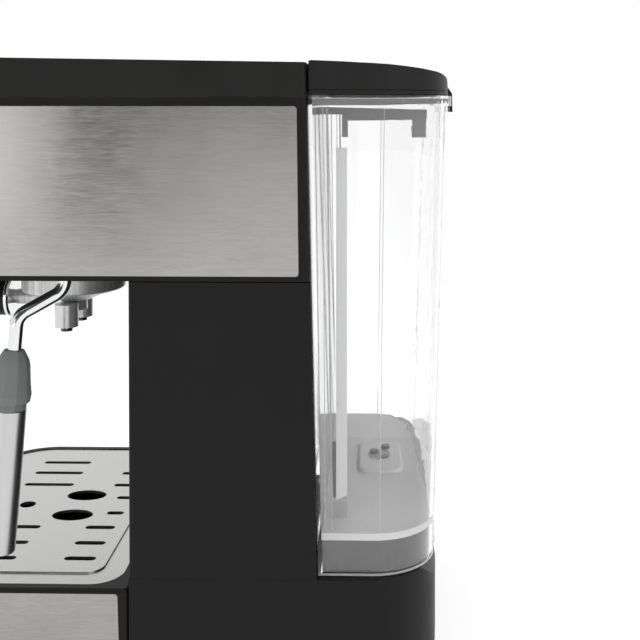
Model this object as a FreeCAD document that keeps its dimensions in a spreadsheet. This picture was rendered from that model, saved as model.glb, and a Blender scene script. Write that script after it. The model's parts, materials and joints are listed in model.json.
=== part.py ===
"""Pump espresso machine: housings, group, portafilter, steam wand, tank, tray and internals.

Millimetres. X runs across the machine, the front faces -Y, +Z is up.
The origin is the centre of the bounding box, on the surface that the feet stand on.
"""
import FreeCAD, Part
import Sketcher
import math
import os
import re

DOC = FreeCAD.newDocument("espresso_machine")
SHEET = DOC.addObject("Spreadsheet::Sheet", "sizes")
NODES = []

SIZES = {
    # overall casing
    "half_width": 105, "wall": 3, "housing_front": -106, "back_low": 111, "back_lean": 0.0211,
    "column_front": 18.5, "column_rear_low": 114.4, "front_corner": 20, "foot_height": 6, "deck_top": 12,
    "base_top": 64.5, "column_top": 215.7, "housing_bottom": 216.2, "housing_top": 309,
    "top_front": 330.6, "top_rear": 327.2, "band_bottom": 218.7, "band_top": 305.1,
    "band_rear_low": 105.3, "band_rear_high": 104.4, "band_thick": 0.8, "band_round": 1.8, "recess": 1,
    # rear base
    "base_rear_side": 176.5, "base_rear_centre": 179.6, "base_corner": 40, "pedestal_half": 64,
    "pedestal_front": 119, "pedestal_rear": 160, "pedestal_top": 78, "crown_radius": 40, "crown_y": 139.7,
    "crown_z": 36,
    # tank
    "tank_low_half": 100.5, "tank_low_front": 114.8, "tank_low_rear": 175.6, "tank_low_centre": 179.3,
    "tank_high_half": 98.5, "tank_high_front": 109.5, "tank_high_rear": 182, "tank_high_centre": 185.6,
    "tank_corner": 33, "tank_bottom": 64.8, "tank_neck": 306, "tank_wall": 2.2, "tank_floor_low": 84,
    "tank_floor_high": 86.2, "flange_half": 101, "flange_front": 110, "flange_rear": 184.8,
    "flange_centre": 188.5, "flange_top": 310.4, "valve_x": -10, "valve_y": 147,
    # lid
    "lid_half": 100.4, "lid_front": 110, "lid_rear": 182.9, "lid_centre": 186.5, "lid_bottom": 310.8,
    "lid_top": 328.4, "lid_wall": 2, "lid_round": 1, "tab_rear": 190.4, "hinge_inset": 3, "hinge_x": 70,
    "pin_radius": 0.9, "ear_half": 1.7,
    # drip tray
    "tray_half": 105, "tray_front": -119, "tray_rear": 17.9, "tray_bottom": 12.1, "tray_top": 58.6,
    "tray_corner": 37, "tray_round": 1.5, "tray_band_rear_low": 13.6, "tray_band_rear_high": 12.6,
    "tray_band_low": 17, "tray_band_high": 56.2,
    "grille_half": 99, "grille_front": -113, "grille_rear": 11.3, "grille_front_corner": 31,
    "grille_rear_corner": 15.5, "grille_bottom": 57, "grille_plate": 58.1, "grille_top": 58.9,
    "grille_border": 12, "slot_width": 4.6,
    "row_one": 71.4, "row_two": 52.4, "row_three": 32, "row_four": 11.6,
    "slot_front_near": -51.6, "slot_front_far": -83.8, "slot_rear_near": -25.1, "slot_rear_far": -7.8,
    "slot_short_near": -18, "drain_x": 15, "drain_y": -38, "drain_length": 24.4, "drain_width": 16,
    "finger_y": -70.4, "finger_radius": 4.8,
    # group and portafilter
    "axis_y": -41, "collar_radius": 40, "collar_bottom": 206.5, "ledge_top": 208.7, "ear_groove": 35.2,
    "ledge_radius": 31.6, "collar_bore": 32.5, "head_top": 231, "head_radius": 38,
    "cup_radius": 31, "cup_base": 187, "cup_edge": 194.7, "cup_top": 214.6, "cup_bore": 29.6,
    "cup_floor": 194, "ear_radius": 34.6, "ear_low": 209.2, "ear_high": 213,
    "basket_radius": 28, "basket_wall": 0.8, "basket_floor": 195.5, "basket_flange": 30.6,
    "screen_bottom": 215.4, "screen_radius": 26.4,
    "spout_x": 15, "spout_radius": 6.95, "spout_bottom": 173, "spout_top": 186.6, "tip_radius": 3.5,
    "tip_bottom": 170.4, "spout_bore": 2.2, "handle_z": 188, "ferrule_start": -78.4,
    "ferrule_end": -80.6, "ferrule_radius": 12.2, "handle_end": -190.4, "handle_radius": 11.4,
    "stud_radius": 3.5, "neck_radius": 4,
    # steam wand
    "wand_x": 80, "wand_y": -21.4, "wand_heading": 25, "pipe_radius": 3.6, "pipe_top": 222,
    "pipe_knee": 207, "pipe_reach": 24.2, "pipe_elbow": 195, "tip_reach": 34.4, "tip_height": 73.4,
    "pipe_run": 100, "grip_high": 178, "grip_low": 151, "grip_radius": 10.6, "sleeve_radius": 8.65,
    "sleeve_wall": 1, "nut_radius": 8.5, "nut_bottom": 213.2,
    # front controls
    "panel_half": 74, "panel_low": 240, "panel_high": 288, "panel_front": -107.2, "panel_back": -103,
    "control_z": 262, "button_first": -50, "button_pitch": 30, "button_radius": 8.6,
    "button_front": -110, "button_back": -99.4, "button_flange": 10.4, "lamp_z": 279, "lamp_radius": 1.8,
    "knob_x": 48, "knob_radius": 17, "knob_front": -128, "knob_back": -108, "spindle_radius": 3,
    "spindle_end": -78, "valve_front": -99, "valve_back": -72,
    # boiler
    "boiler_radius": 40, "boiler_top": 282, "boiler_bore": 30, "boiler_floor": 238,
    "boiler_lid_top": 292, "seal_thick": 1.2, "inlet_z": 262,
    # pump and electrics
    "pump_x": 30, "pump_y": 62, "pump_radius": 15, "pump_low": 92, "pump_high": 190,
    "coil_half": 25, "coil_low": 112, "coil_high": 168, "hose_radius": 4, "gland_x": -40, "gland_z": 26,
    "gland_radius": 7, "gland_end": 182.6,
}


def fill_sheet():
    """Write each driving dimension into the sheet, one row each, with its alias."""
    for row, (alias, number) in enumerate(SIZES.items(), start=1):
        SHEET.set(f"A{row}", alias)
        SHEET.set(f"B{row}", str(number))
        SHEET.setAlias(f"B{row}", alias)
    DOC.recompute()


def cells(text):
    """Turn aliases in a formula into references to the sheet."""
    return re.sub(r"[a-z_]{3,}", lambda word: "sizes." + word.group() if word.group() in SIZES
                  else word.group(), str(text))


def size(text):
    """Value of a formula of aliases."""
    return float(SHEET.evalExpression(str(text)))


def bind(item, **formulas):
    """Bind properties to formulas of the sheet's aliases."""
    for name, text in formulas.items():
        item.setExpression(name, cells(text))
    return item


def place(item, x="0", y="0", z="0", turn=None):
    """Bind a position to the sheet, with a fixed rotation."""
    if turn is not None:
        item.Placement = FreeCAD.Placement(FreeCAD.Vector(0, 0, 0), turn)
    item.setExpression("Placement.Base.x", cells(x))
    item.setExpression("Placement.Base.y", cells(y))
    item.setExpression("Placement.Base.z", cells(z))
    return item


ALONG = {
    "X": FreeCAD.Rotation(FreeCAD.Vector(0, 1, 0), 90),
    "Y": FreeCAD.Rotation(FreeCAD.Vector(1, 0, 0), -90),
    "Z": FreeCAD.Rotation(),
    "-Y": FreeCAD.Rotation(FreeCAD.Vector(1, 0, 0), 90),
}


def node(item, name):
    """Name a finished sub-part and keep it for the export."""
    item.Label = name
    NODES.append(item)
    return item


def box(x_low, x_high, y_low, y_high, z_low, z_high):
    """Box between two corners."""
    item = DOC.addObject("Part::Box", "block")
    bind(item, Length=f"({x_high}) - ({x_low})", Width=f"({y_high}) - ({y_low})",
         Height=f"({z_high}) - ({z_low})")
    return place(item, x_low, y_low, z_low)


def rod(x, y, z, radius, length, along="Z"):
    """Round bar from a point, along an axis."""
    item = DOC.addObject("Part::Cylinder", "round")
    bind(item, Radius=radius, Height=length)
    return place(item, x, y, z, ALONG[along])


def fuse(*items):
    """One solid from several that touch or overlap, or a group of separate ones."""
    item = DOC.addObject("Part::MultiFuse", "joined")
    item.Shapes = list(items)
    return item


def cut(base, *tools):
    """Base less the tools."""
    item = DOC.addObject("Part::Cut", "hollowed")
    item.Base = base
    item.Tool = tools[0] if len(tools) == 1 else fuse(*tools)
    return item


def plane_of(body, role):
    """Origin plane of a body."""
    return next(part for part in body.Origin.OriginFeatures if part.Role == role)


def new_sketch(body, role, offset="0"):
    """Sketch on one of the body's own origin planes, raised by an offset."""
    sketch = body.newObject("Sketcher::SketchObject", "outline")
    sketch.AttachmentSupport = [(plane_of(body, role), "")]
    sketch.MapMode = "FlatFace"
    sketch.setExpression("AttachmentOffset.Base.z", cells(offset))
    return sketch


def pin(sketch, curve, end, x, y):
    """Hold one end of a curve at sheet-bound coordinates."""
    across = sketch.addConstraint(Sketcher.Constraint("DistanceX", -1, 1, curve, end, size(x)))
    sketch.setExpression(f"Constraints[{across}]", cells(x))
    up = sketch.addConstraint(Sketcher.Constraint("DistanceY", -1, 1, curve, end, size(y)))
    sketch.setExpression(f"Constraints[{up}]", cells(y))


def draw_polygon(sketch, corners):
    """Closed outline with each corner bound to the sheet."""
    spots = [FreeCAD.Vector(size(x), size(y), 0) for x, y in corners]
    for index, spot in enumerate(spots):
        sketch.addGeometry(Part.LineSegment(spot, spots[(index + 1) % len(spots)]), False)
    for index, (x, y) in enumerate(corners):
        before = (index - 1) % len(corners)
        sketch.addConstraint(Sketcher.Constraint("Coincident", before, 2, index, 1))
        pin(sketch, index, 1, x, y)


def draw_dee(sketch, half, front, side, centre, corner):
    """Outline with a flat front, two round rear corners and a slightly bowed back."""
    wide, near, flank, back, curve = size(half), size(front), size(side), size(centre), size(corner)
    inner = wide - curve
    start = flank - curve
    point = FreeCAD.Vector
    right = point(inner + curve * math.cos(math.pi / 4), start + curve * math.sin(math.pi / 4), 0)
    left = point(-right.x, right.y, 0)
    pieces = [
        Part.LineSegment(point(-wide, near, 0), point(wide, near, 0)),
        Part.LineSegment(point(wide, near, 0), point(wide, start, 0)),
        Part.Arc(point(wide, start, 0), right, point(inner, flank, 0)),
        Part.Arc(point(inner, flank, 0), point(0, back, 0), point(-inner, flank, 0)),
        Part.Arc(point(-inner, flank, 0), left, point(-wide, start, 0)),
        Part.LineSegment(point(-wide, start, 0), point(-wide, near, 0)),
    ]
    for piece in pieces:
        sketch.addGeometry(piece, False)
    starts = [(f"-({half})", front), (half, front), (half, f"({side}) - ({corner})"),
              (f"({half}) - ({corner})", side), (f"({corner}) - ({half})", side),
              (f"-({half})", f"({side}) - ({corner})")]
    for index, (x, y) in enumerate(starts):
        sketch.addConstraint(Sketcher.Constraint("Coincident", index - 1 if index else 5, 2, index, 1))
        pin(sketch, index, 1, x, y)
    for index in (2, 4):
        held = sketch.addConstraint(Sketcher.Constraint("Radius", index, curve))
        sketch.setExpression(f"Constraints[{held}]", cells(corner))
    bow = f"((({half}) - ({corner}))^2 + (({centre}) - ({side}))^2) / (2 * (({centre}) - ({side})))"
    held = sketch.addConstraint(Sketcher.Constraint("Radius", 3, size(bow)))
    sketch.setExpression(f"Constraints[{held}]", cells(bow))


def pad(body, sketch, length, middle=False):
    """Pad a sketch by a bound length."""
    feature = body.newObject("PartDesign::Pad", "pad")
    feature.Profile = sketch
    feature.setExpression("Length", cells(length))
    feature.Midplane = middle
    DOC.recompute()
    return feature


def pocket(body, sketch, length, reverse=False, middle=False):
    """Pocket a sketch and make sure that it removes material."""
    before = body.Shape.Volume
    feature = body.newObject("PartDesign::Pocket", "pocket")
    feature.Profile = sketch
    feature.setExpression("Length", cells(length))
    feature.Reversed = reverse
    feature.Midplane = middle
    DOC.recompute()
    if feature.Shape.Volume > before - 1:
        raise RuntimeError("a pocket cut nothing")
    return feature


def edges_where(shape, test):
    """Names of the edges that pass a test of their middle point and direction."""
    names = []
    for number, edge in enumerate(shape.Edges, start=1):
        middle = edge.valueAt((edge.FirstParameter + edge.LastParameter) / 2)
        if test(edge, middle):
            names.append(f"Edge{number}")
    return names


def round_off(body, radius, test):
    """Fillet the edges of a body that pass a test."""
    tip = body.Tip
    names = edges_where(tip.Shape, test)
    feature = body.newObject("PartDesign::Fillet", "fillet")
    feature.Base = (tip, names)
    feature.setExpression("Radius", cells(radius))
    DOC.recompute()
    return feature


def upright(edge):
    """True for a straight edge along Z."""
    ends = edge.Vertexes
    return len(ends) == 2 and abs(ends[0].Z - ends[1].Z) > 0.9 * edge.Length


def slab(half, front, rear, low, high, front_round="0", rear_round="0"):
    """Upright block, symmetric about X = 0, with rounded front and rear corners."""
    body = DOC.addObject("PartDesign::Body", "slab")
    sketch = new_sketch(body, "XY_Plane", low)
    draw_polygon(sketch, [(f"-({half})", front), (half, front), (half, rear), (f"-({half})", rear)])
    pad(body, sketch, f"({high}) - ({low})")
    middle = (size(front) + size(rear)) / 2
    if size(front_round) > 0:
        round_off(body, front_round, lambda edge, spot: upright(edge) and spot.y < middle)
    if size(rear_round) > 0:
        round_off(body, rear_round, lambda edge, spot: upright(edge) and spot.y > middle)
    return body


def dee(half, front, side, centre, corner, low, high):
    """Upright block with the tank's plan."""
    body = DOC.addObject("PartDesign::Body", "dee")
    sketch = new_sketch(body, "XY_Plane", low)
    draw_dee(sketch, half, front, side, centre, corner)
    pad(body, sketch, f"({high}) - ({low})")
    return body


def side_profile(corners, width):
    """Block whose outline is drawn in the YZ plane, centred on X = 0."""
    body = DOC.addObject("PartDesign::Body", "profile")
    sketch = new_sketch(body, "YZ_Plane")
    draw_polygon(sketch, corners)
    pad(body, sketch, width, middle=True)
    return body


def across(edge):
    """True for a straight edge along X."""
    ends = edge.Vertexes
    return len(ends) == 2 and abs(ends[0].X - ends[1].X) > 0.9 * edge.Length


def leaning(half, front, rear_low, rear_high, low, high, front_round="0", rear_round="0", end_round="0"):
    """Upright block like a slab, whose back leans between two levels."""
    body = side_profile([(front, low), (rear_low, low), (rear_high, high), (front, high)], f"2 * ({half})")
    middle = (size(front) + size(rear_low)) / 2
    if size(end_round) > 0:
        round_off(body, end_round, lambda edge, spot: across(edge) and spot.y > middle)
    if size(front_round) > 0:
        round_off(body, front_round, lambda edge, spot: upright(edge) and spot.y < middle)
    if size(rear_round) > 0:
        round_off(body, rear_round, lambda edge, spot: upright(edge) and spot.y > middle)
    return body


def back_at(level, inset="0"):
    """Y of the leaning back of the body at a height, moved in by an inset."""
    return f"back_low - back_lean * (({level}) - housing_bottom) - ({inset})"


def turned(corners, x="0", y="0", z="0", along="Z"):
    """Revolved piece: corners are radius and height along its axis."""
    body = DOC.addObject("PartDesign::Body", "turned")
    sketch = new_sketch(body, "XZ_Plane")
    draw_polygon(sketch, corners)
    feature = body.newObject("PartDesign::Revolution", "revolution")
    feature.Profile = sketch
    feature.ReferenceAxis = (sketch, ["V_Axis"])
    feature.Angle = 360
    DOC.recompute()
    return place(body, x, y, z, ALONG[along])


def ring(x, y, low, high, outer, inner):
    """Plain upright ring."""
    return turned([(inner, low), (outer, low), (outer, high), (inner, high)], x, y)


def bent_path(points, bend):
    """Wire of straight runs joined by tangent arcs of one radius."""
    edges = []
    start = points[0]
    for before, corner, after in zip(points, points[1:], points[2:]):
        into = (corner - before).normalize()
        out = (after - corner).normalize()
        turn = into.getAngle(out)
        reach = bend * math.tan(turn / 2)
        enter = corner - into * reach
        leave = corner + out * reach
        inward = (out - into).normalize()
        centre = corner + inward * (bend / math.cos(turn / 2))
        middle = centre - inward * bend
        edges.append(Part.LineSegment(start, enter).toShape())
        edges.append(Part.Arc(enter, middle, leave).toShape())
        start = leave
    edges.append(Part.LineSegment(start, points[-1]).toShape())
    return Part.Wire(edges)


def tube(name, points, radius, bore, bend):
    """Tube along a bent path, which no single sketch plane holds."""
    path = bent_path(points, bend)
    heading = points[1] - points[0]

    def swept(width):
        circle = Part.Wire([Part.Circle(points[0], heading, width).toShape()])
        return path.makePipeShell([circle], True, False)
    item = DOC.addObject("Part::Feature", name)
    item.Shape = swept(radius).cut(swept(bore)) if bore else swept(radius)
    return item


def fine_slot(x, near, far, width):
    """Cutter for one slot that runs along Y through the grille."""
    low = "grille_bottom - 1"
    tall = "grille_top - grille_bottom + 2"
    radius = f"({width}) / 2"
    middle = box(f"({x}) - {radius}", f"({x}) + {radius}", f"({near}) + {radius}", f"({far}) - {radius}",
                 low, "grille_top + 1")
    return [middle, rod(x, f"({near}) + {radius}", low, radius, tall),
            rod(x, f"({far}) - {radius}", low, radius, tall)]


# ---------------------------------------------------------------- casing

def base_deck():
    """Floor plate of the whole machine, which the tray slides on."""
    plate = slab("half_width - 4", "tray_front + 12", "base_rear_side - 4", "foot_height", "foot_height + 3",
                 "tray_corner - 8", "base_corner - 6")
    deck = slab("half_width - 4", "tray_front + 12", "column_front - 0.6", "foot_height + 2", "deck_top",
                "tray_corner - 8")
    vents = [box(f"{x}", f"{x} + 3", "60", "100", "foot_height - 1", "foot_height + 4")
             for x in range(-60, 61, 12)]
    screw_ways = [rod(x, y, "foot_height - 1", "1.6", "5") for x, y in base_screw_spots()]
    node(cut(fuse(plate, deck), *vents, *screw_ways), "base_deck")


def rubber_feet():
    """Four rubber feet under the floor plate."""
    spots = [(sign + " * (half_width - 26)", y) for sign in ("-1", "1") for y in ("-78", "140")]
    node(fuse(*[rod(x, y, "0", "9", "foot_height") for x, y in spots]), "rubber_feet")


def base_screw_spots():
    """Places of the four screws that hold the floor plate."""
    return [(f"{sign} * (half_width - 7)", y) for sign in ("-1", "1") for y in ("40", "126")]


def base_screws():
    """Screws that hold the floor plate to the rear base."""
    screws = []
    for x, y in base_screw_spots():
        head = rod(x, y, "foot_height - 2.4", "2.8", "2.4")
        screws.append(fuse(head, rod(x, y, "foot_height - 1", "1.5", "12")))
    node(fuse(*screws), "base_screws")


def crown(inset):
    """Cutter that rounds the top of the rear edge of the base, moved in by an inset."""
    corner = box("-half_width - 5", "half_width + 5", "crown_y", "base_rear_centre + 5", "crown_z",
                 "base_top + 5")
    bar = rod("-half_width - 6", "crown_y", "crown_z", f"crown_radius - ({inset})", "2 * half_width + 12",
              "X")
    return cut(corner, bar)


def rear_base_housing():
    """Shell under the column and the tank, with the pedestal that the tank sits over."""
    outer = dee("half_width", "column_front", "base_rear_side", "base_rear_centre", "base_corner",
                "foot_height + 3", "base_top")
    inner = dee("half_width - wall", "column_front + wall", "base_rear_side - wall",
                "base_rear_centre - wall", "base_corner - wall", "foot_height + 2", "base_top - wall")
    pedestal = box("-pedestal_half", "pedestal_half", "pedestal_front", "pedestal_rear",
                   "base_top - 1", "pedestal_top")
    hollow = box("-pedestal_half + 2.4", "pedestal_half - 2.4", "pedestal_front + 2.4",
                 "pedestal_rear - 2.4", "base_top - 2", "pedestal_top - 2.4")
    column_way = box("-80", "80", "30", "96", "base_top - 5", "base_top + 5")
    socket = rod("valve_x", "valve_y", "base_top - 2", "11.2", "20")
    gland = rod("gland_x", "base_rear_side - 8", "gland_z", "gland_radius - 1.5", "20", "Y")
    inlet = rod("valve_x", "valve_y", "base_top - wall - 1", "4.05", "5")
    spots = base_screw_spots()
    screw_ways = [rod(x, y, "foot_height", "1.55", "11.05") for x, y in spots]
    bosses = [rod(x, y, "foot_height + 3", "4.5", "16") for x, y in spots]
    shell = fuse(cut(outer, crown("0"), cut(inner, crown("wall"))), pedestal, *bosses)
    node(cut(shell, hollow, column_way, socket, inlet, gland, *screw_ways), "rear_base_housing")


def column_housing():
    """Upright shell behind the cup space, with a back that leans with the tank."""
    outer = leaning("half_width", "column_front", "column_rear_low", "back_low", "base_top", "column_top",
                    "2")
    inner = leaning("half_width - wall", "column_front + wall", "column_rear_low - wall", "back_low - wall",
                    "base_top - 1", "column_top + 1")
    node(cut(outer, inner), "column_housing")


def upper_housing():
    """Shell around the boiler and valve, with a shallow recess for the steel band."""
    outer = leaning("half_width", "housing_front", back_at("housing_bottom"), back_at("housing_top"),
                    "housing_bottom", "housing_top", "front_corner", "2")
    inner = slab("half_width - wall - recess", "housing_front + wall + recess",
                 back_at("housing_top", "wall"), "housing_bottom + wall", "housing_top + 1",
                 "front_corner - 4")
    around = leaning("half_width + 5", "housing_front - 5", "band_rear_low + 0.2", "band_rear_high + 0.2",
                     "band_bottom - 0.2", "band_top + 0.2", "front_corner + 5", "0", "band_round + 0.2")
    core = slab("half_width - recess", "housing_front + recess", "back_low", "band_bottom - 2",
                "band_top + 2", "front_corner - 1")
    group_way = rod("0", "axis_y", "housing_bottom - 1", "collar_radius + 0.5", "6")
    pipe_way = rod("wand_x", "wand_y", "housing_bottom - 1", "5", "6")
    column_way = box("-80", "80", "30", "96", "housing_bottom - 1", "housing_bottom + 5")
    panel_way = box("-panel_half + 3", "panel_half - 3", "housing_front - 1", "housing_front + 8",
                    "panel_low + 3", "panel_high - 3")
    node(cut(outer, inner, cut(around, core), group_way, pipe_way, column_way, panel_way), "upper_housing")


def steel_band():
    """Brushed steel strip wrapped round the two sides and the front."""
    outer = leaning("half_width - recess + band_thick", "housing_front + recess - band_thick",
                    "band_rear_low", "band_rear_high", "band_bottom", "band_top", "front_corner - 0.2",
                    "0", "band_round")
    inner = slab("half_width - recess + 0.02", "housing_front + recess - 0.02", "back_low",
                 "band_bottom - 1", "band_top + 1", "front_corner - 0.98")
    window = box("-panel_half - 0.3", "panel_half + 0.3", "housing_front - 5", "housing_front + 8",
                 "panel_low - 0.3", "panel_high + 0.3")
    node(cut(outer, inner, window), "steel_band")


def top_cover():
    """Cover that closes the housing, with a gently sloping top and a recess for the warming plate."""
    blank = leaning("half_width", "housing_front", back_at("housing_top + 0.2"), back_at("top_front + 2"),
                    "housing_top + 0.2", "top_front + 2", "front_corner", "2")
    sky = side_profile([("housing_front - 10", "top_front + 0.16"), ("back_low + 8", "top_rear - 0.16"),
                        ("back_low + 8", "top_front + 20"), ("housing_front - 10", "top_front + 20")],
                       "4 * half_width")
    inner = slab("half_width - wall", "housing_front + wall", "back_low - 2 - wall", "housing_top - 1",
                 "top_rear - 6", "front_corner - wall")
    tray = slab("half_width - 14", "housing_front + 15", "back_low - 16", "top_rear - 1.6",
                "top_front + 5", "12", "12")
    node(cut(blank, sky, inner, tray), "top_cover")


def cup_plate():
    """Steel plate with round-ended slots on which cups are warmed."""
    plate = slab("half_width - 14.4", "housing_front + 15.4", "back_low - 16.4", "top_rear - 1.6",
                 "top_rear - 0.4", "11.6", "11.6")
    slots = []
    for x in range(-72, 73, 16):
        slots.append(box(f"{x} - 2", f"{x} + 2", "-70", "75", "top_rear - 3", "top_rear + 1"))
        slots.extend(rod(f"{x}", y, "top_rear - 3", "2", "4") for y in ("-70", "75"))
    node(cut(plate, *slots), "cup_plate")


# ---------------------------------------------------------------- front controls

def button_x(index):
    """Middle of a push button across the panel."""
    return f"button_first + {index} * button_pitch"


def control_panel():
    """Gloss panel in the front of the steel band."""
    body = DOC.addObject("PartDesign::Body", "panel")
    sketch = new_sketch(body, "XZ_Plane", "-(panel_back)")
    draw_polygon(sketch, [("-panel_half", "panel_low"), ("panel_half", "panel_low"),
                          ("panel_half", "panel_high"), ("-panel_half", "panel_high")])
    pad(body, sketch, "panel_back - (panel_front)")
    behind = cut(box("-panel_half - 1", "panel_half + 1", "housing_front + 0.6", "panel_back + 1",
                     "panel_low - 1", "panel_high + 1"),
                 box("-panel_half + 3.4", "panel_half - 3.4", "housing_front", "panel_back + 2",
                     "panel_low + 3.4", "panel_high - 3.4"))
    ways = [rod(button_x(index), "panel_front - 1", "control_z", "button_radius + 0.15", "8", "Y")
            for index in range(3)]
    lamps = [rod(button_x(index), "panel_front - 1", "lamp_z", "lamp_radius", "8", "Y") for index in range(3)]
    spindle = rod("knob_x", "panel_front - 1", "control_z", "spindle_radius + 1", "8", "Y")
    node(cut(body, behind, spindle, *ways, *lamps), "control_panel")


def push_button(index, name):
    """Round push button with a flange that keeps it behind the panel."""
    cap = turned([("0", "button_front"), ("button_radius - 1", "button_front"),
                  ("button_radius", "button_front + 1"), ("button_radius", "panel_back + 0.3"),
                  ("button_flange", "panel_back + 0.3"), ("button_flange", "button_back"),
                  ("0", "button_back")], button_x(index), "0", "control_z", "Y")
    node(cap, name)


def indicator_lights():
    """Three small lamp lenses over the buttons."""
    node(fuse(*[rod(button_x(index), "panel_front - 0.4", "lamp_z", "lamp_radius", "5", "Y")
                for index in range(3)]), "indicator_lights")


def switch_board():
    """Circuit board with the three switches behind the buttons."""
    board = box("button_first - 16", "button_first + 2 * button_pitch + 14", "-90", "-88.4",
                "control_z - 16", "lamp_z + 6")
    switches = [box(f"{button_x(index)} - 6", f"{button_x(index)} + 6", "-96.6", "-90",
                    "control_z - 6", "control_z + 6") for index in range(3)]
    node(fuse(board, *switches), "switch_board")


def steam_knob():
    """Steam knob on the front, and the spindle that it turns."""
    knob = turned([("0", "knob_front"), ("knob_radius - 3", "knob_front"),
                   ("knob_radius - 1", "knob_front + 2"), ("knob_radius", "knob_back - 3"),
                   ("knob_radius", "knob_back"), ("0", "knob_back")],
                  "knob_x", "0", "control_z", "Y")
    socket = rod("knob_x", "knob_front + 6", "control_z", "spindle_radius", "30", "Y")
    node(cut(knob, socket), "steam_knob")
    node(rod("knob_x", "knob_front + 6", "control_z", "spindle_radius",
             "spindle_end - (knob_front) - 6", "Y"), "valve_spindle")


def steam_valve():
    """Brass valve that the spindle closes, with its outlet stub."""
    body = rod("knob_x", "valve_front", "control_z", "9", "valve_back - (valve_front)", "Y")
    hexagon = rod("knob_x", "valve_front + 6", "control_z", "12", "10", "Y")
    outlet = rod("knob_x", "-82", "control_z - 18", "5", "18")
    bore = rod("knob_x", "valve_front - 1", "control_z", "spindle_radius + 0.06", "22.5", "Y")
    node(cut(fuse(body, hexagon, outlet), bore), "steam_valve")


# ---------------------------------------------------------------- boiler and group

def boiler():
    """Boiler casting with the group head under it, its lid, seal and bolts."""
    casting = turned([("0", "housing_bottom + 3.6"), ("head_radius", "housing_bottom + 3.6"),
                      ("head_radius", "head_top"), ("boiler_radius + 4", "head_top"),
                      ("boiler_radius + 4", "head_top + 4"), ("boiler_radius", "head_top + 4"),
                      ("boiler_radius", "boiler_top"), ("boiler_bore", "boiler_top"),
                      ("boiler_bore", "boiler_floor"), ("0", "boiler_floor")], "0", "axis_y")
    screw_way = rod("0", "axis_y", "housing_bottom", "2.5", "14")
    spots = [(f"{sx} * 25", f"axis_y + {sy} * 25") for sx in ("-1", "1") for sy in ("-1", "1")]
    bolt_ways = [rod(x, y, "boiler_top - 9", "1.9", "20") for x, y in spots]
    pipe_seat = rod("0", "axis_y + boiler_radius - 5", "inlet_z", "3.05", "10", "Y")
    pipe_way = rod("0", "axis_y + boiler_bore - 2", "inlet_z", "1.8", "10", "Y")
    node(cut(casting, screw_way, pipe_seat, pipe_way, *bolt_ways), "boiler_body")
    seal = ring("0", "axis_y", "boiler_top", "boiler_top + seal_thick", "boiler_bore + 3", "boiler_bore")
    node(seal, "boiler_seal")
    lid = turned([("0", "boiler_top + seal_thick"), ("boiler_radius", "boiler_top + seal_thick"),
                  ("boiler_radius", "boiler_lid_top - 2"), ("boiler_radius - 2", "boiler_lid_top"),
                  ("0", "boiler_lid_top")], "0", "axis_y")
    lid_ways = [rod(x, y, "boiler_top", "1.9", "20") for x, y in spots]
    node(cut(lid, *lid_ways), "boiler_lid")
    bolts = []
    for x, y in spots:
        bolts.append(fuse(rod(x, y, "boiler_top - 9", "1.85", "boiler_lid_top - boiler_top + 9"),
                          rod(x, y, "boiler_lid_top", "3.5", "3")))
    node(fuse(*bolts), "boiler_bolts")
    stats = [fuse(rod(x, "axis_y", "boiler_lid_top", "8", "6"),
                  box(f"{x} - 3", f"{x} + 3", "axis_y - 1", "axis_y + 1", "boiler_lid_top + 5",
                      "boiler_lid_top + 11")) for x in ("-12", "12")]
    node(fuse(*stats), "thermostats")


def wedge(middle, half_angle, radius, low, high):
    """Sector of a round bar about the group axis, with its middle at a given bearing."""
    item = DOC.addObject("Part::Cylinder", "sector")
    bind(item, Radius=radius, Height=f"({high}) - ({low})")
    item.Angle = 2 * half_angle
    place(item, "0", "axis_y", low, FreeCAD.Rotation(FreeCAD.Vector(0, 0, 1), middle - half_angle))
    return item


EAR_HALF_ANGLE = 18
RELEASE_TURN = -50


def group_parts():
    """Bayonet collar, gasket, shower screen and its screw."""
    collar = ring("0", "axis_y", "collar_bottom", "housing_bottom + 3.4", "collar_radius", "ledge_radius")
    groove = rod("0", "axis_y", "ledge_top", "ear_groove", "ear_high - ledge_top + 0.6")
    entries = [wedge(turn + RELEASE_TURN, EAR_HALF_ANGLE + 3, "ear_groove", "collar_bottom - 1", "ear_high")
               for turn in (0, 180)]
    seat = rod("0", "axis_y", "ear_high + 0.4", "collar_bore", "20")
    node(cut(collar, groove, seat, *entries), "group_collar")
    node(ring("0", "axis_y", "cup_top + 0.5", "housing_bottom + 3.4", "collar_bore - 0.2",
              "screen_radius + 0.5"), "group_gasket")
    screen = turned([("3", "screen_bottom"), ("screen_radius - 3", "screen_bottom"),
                     ("screen_radius", "screen_bottom + 2"), ("screen_radius", "screen_bottom + 4"),
                     ("3", "screen_bottom + 1.2")], "0", "axis_y")
    node(screen, "shower_screen")
    node(turned([("0", "screen_bottom - 1"), ("4.5", "screen_bottom - 1"), ("4.5", "screen_bottom"),
                 ("2.4", "screen_bottom"), ("2.4", "housing_bottom + 12"), ("0", "housing_bottom + 12")],
                "0", "axis_y"), "screen_screw")


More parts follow.
